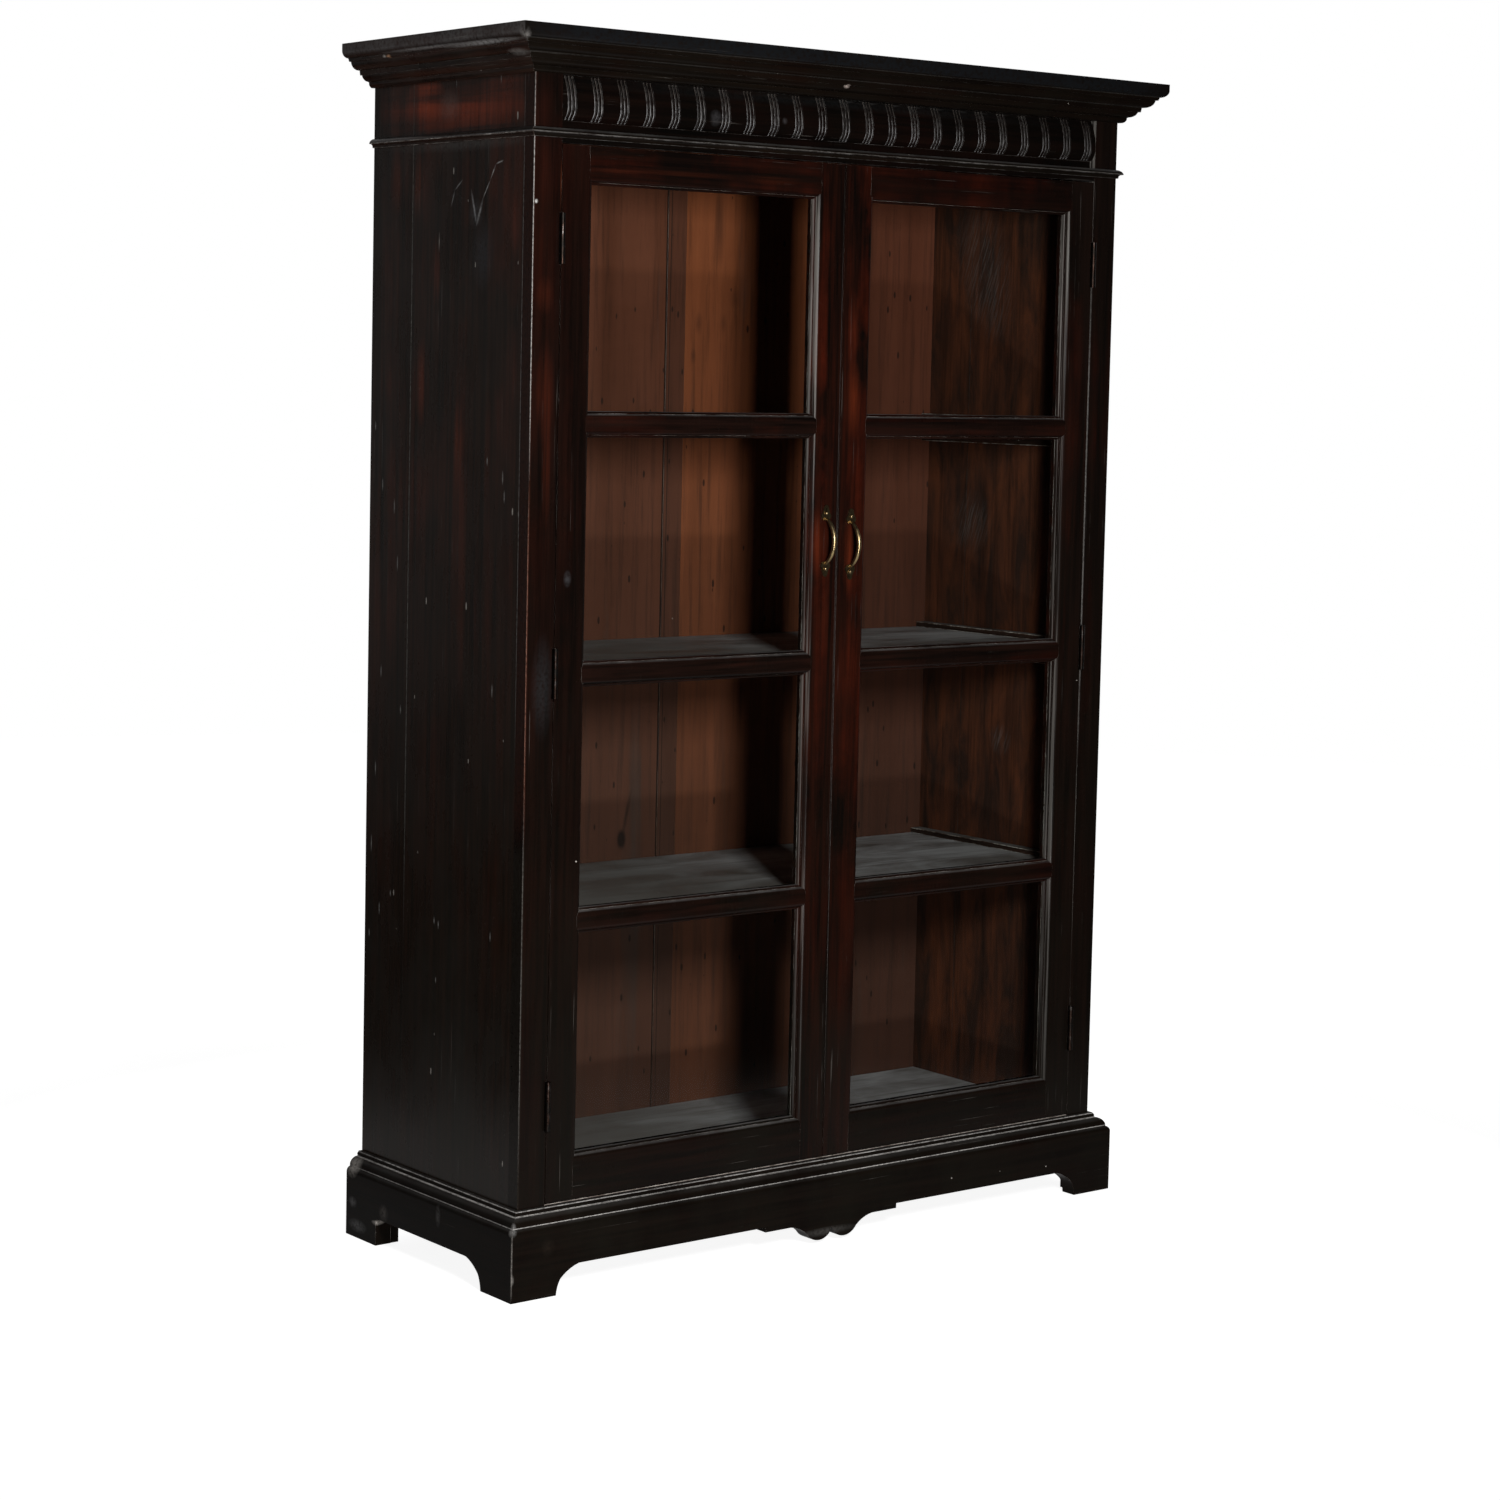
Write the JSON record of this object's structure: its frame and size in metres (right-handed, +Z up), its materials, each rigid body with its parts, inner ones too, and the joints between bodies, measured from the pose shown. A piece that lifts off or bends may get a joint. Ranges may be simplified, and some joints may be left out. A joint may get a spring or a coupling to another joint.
{
  "type": "glass-door cabinet",
  "caption": "Tall dark polished cabinet on a bracketed plinth, with a pair of glazed doors on butt hinges, bow handles, fluted frieze, stepped cornice and fixed shelves",
  "frame": {"origin": "on the floor under the middle of the overall box", "axes": "X along the front to the viewer's right, Y from the front to the back, Z up"},
  "size_m": [1.322, 0.511, 1.91],
  "materials": {
    "polished_wood": "dark French polish, worn to pale arrises",
    "inside_wood": "stained brown, matt",
    "shelf_wood": "bare, dusty grey brown",
    "glass": "clear sheet glass",
    "brass": "aged, dark in the hollows",
    "hinge_steel": "darkened steel"
  },
  "bodies": {
    "carcass": {"back_board_far_left": "inside_wood", "back_board_far_right": "inside_wood", "back_board_left": "inside_wood", "back_board_right": "inside_wood", "back_muntin": "inside_wood", "bottom_bearers": "inside_wood", "bottom_board": "shelf_wood", "bottom_rail": "inside_wood", "cornice_front": "polished_wood", "cornice_left": "polished_wood", "cornice_right": "polished_wood", "door_stops": "inside_wood", "face_stile_left": "polished_wood", "face_stile_right": "polished_wood", "foot_blocks": "polished_wood", "frieze_rail": "polished_wood", "hinge_frame_leaves": "hinge_steel", "hinge_frame_screws": "hinge_steel", "hinge_pins": "hinge_steel", "necking_front": "polished_wood", "necking_left": "polished_wood", "necking_right": "polished_wood", "plinth_front": "polished_wood", "plinth_left": "polished_wood", "plinth_moulding_front": "polished_wood", "plinth_moulding_left": "polished_wood", "plinth_moulding_right": "polished_wood", "plinth_right": "polished_wood", "shelf_1": "shelf_wood", "shelf_2": "shelf_wood", "shelf_3": "shelf_wood", "shelf_cleats": "inside_wood", "shelf_end_strips": "inside_wood", "side_back_board_left": "polished_wood", "side_back_board_right": "polished_wood", "side_front_board_left": "polished_wood", "side_front_board_right": "polished_wood", "top_board": "inside_wood"},
    "left_door": {"left_door_bottom_rail": "polished_wood", "left_door_glass_panes": "glass", "left_door_glazing_bars": "polished_wood", "left_door_glazing_beads": "polished_wood", "left_door_handle": "brass", "left_door_handle_screws": "brass", "left_door_hinge_leaves": "hinge_steel", "left_door_hinge_screws": "hinge_steel", "left_door_hinge_stile": "polished_wood", "left_door_meeting_stile": "polished_wood", "left_door_top_rail": "polished_wood"},
    "right_door": {"right_door_bottom_rail": "polished_wood", "right_door_glass_panes": "glass", "right_door_glazing_bars": "polished_wood", "right_door_glazing_beads": "polished_wood", "right_door_handle": "brass", "right_door_handle_screws": "brass", "right_door_hinge_leaves": "hinge_steel", "right_door_hinge_screws": "hinge_steel", "right_door_hinge_stile": "polished_wood", "right_door_meeting_stile": "polished_wood", "right_door_top_rail": "polished_wood"}
  },
  "joints": [
    {"name": "left_door_swing", "type": "hinge", "parent": "carcass", "child": "left_door", "pos_m": [-0.54925, -0.198, 0.939], "axis": [0, 0, -1], "range_deg": [0, 170]},
    {"name": "right_door_swing", "type": "hinge", "parent": "carcass", "child": "right_door", "pos_m": [0.54925, -0.198, 0.939], "axis": [0, 0, 1], "range_deg": [0, 170]}
  ]
}
